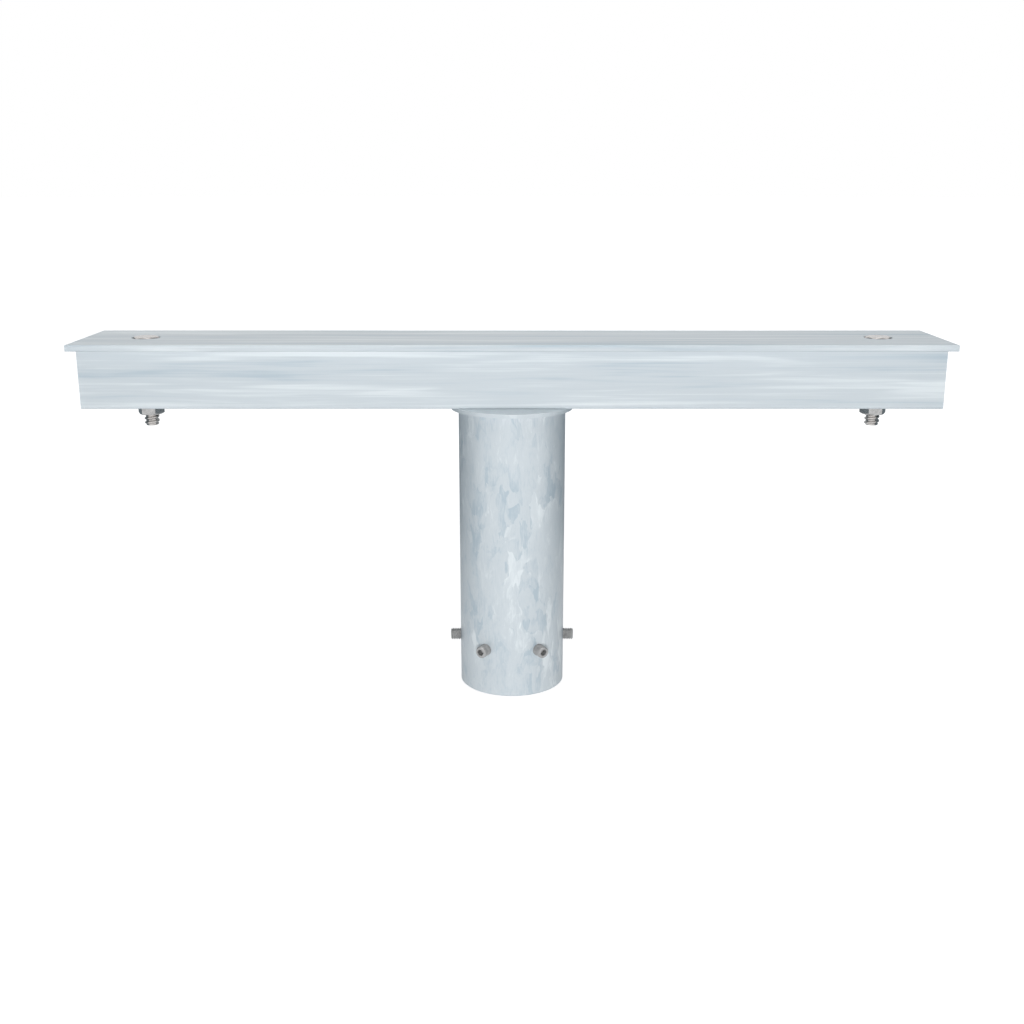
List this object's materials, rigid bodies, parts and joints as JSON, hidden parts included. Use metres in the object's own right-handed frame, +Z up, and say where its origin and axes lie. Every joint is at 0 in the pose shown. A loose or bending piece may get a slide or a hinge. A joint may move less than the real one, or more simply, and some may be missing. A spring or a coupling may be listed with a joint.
{
  "type": "steel pole crossarm",
  "caption": "Galvanised pole-top crossarm: a flat plate on a square box beam, with a round sleeve below that slips over the pole and clamps with set screws.",
  "frame": {"origin": "centre of the sleeve's open bottom end, on the surface it stands on", "axes": "+Z up along the sleeve, +X along the arm, -Y the front"},
  "size_m": [0.7, 0.101, 0.299],
  "materials": {
    "galvanised_plate": "hot-dip galvanised flat bar, pale blue-grey with long drawn streaks",
    "galvanised_beam": "hot-dip galvanised hollow section, pale blue-grey with long drawn streaks",
    "galvanised_tube": "hot-dip galvanised tube with large upright spangle patches",
    "bolt_steel": "bright zinc-plated steel",
    "screw_steel": "dull grey plain steel"
  },
  "bodies": {
    "root": {"top_plate": "galvanised_plate", "box_beam": "galvanised_beam", "cap_plate": "galvanised_plate", "sleeve": "galvanised_tube", "hex_bolt_1": "bolt_steel", "hex_nut_1": "bolt_steel", "hex_bolt_2": "bolt_steel", "hex_nut_2": "bolt_steel", "set_screw_1": "screw_steel", "set_screw_2": "screw_steel", "set_screw_3": "screw_steel", "set_screw_4": "screw_steel", "set_screw_5": "screw_steel", "set_screw_6": "screw_steel"}
  },
  "joints": []
}
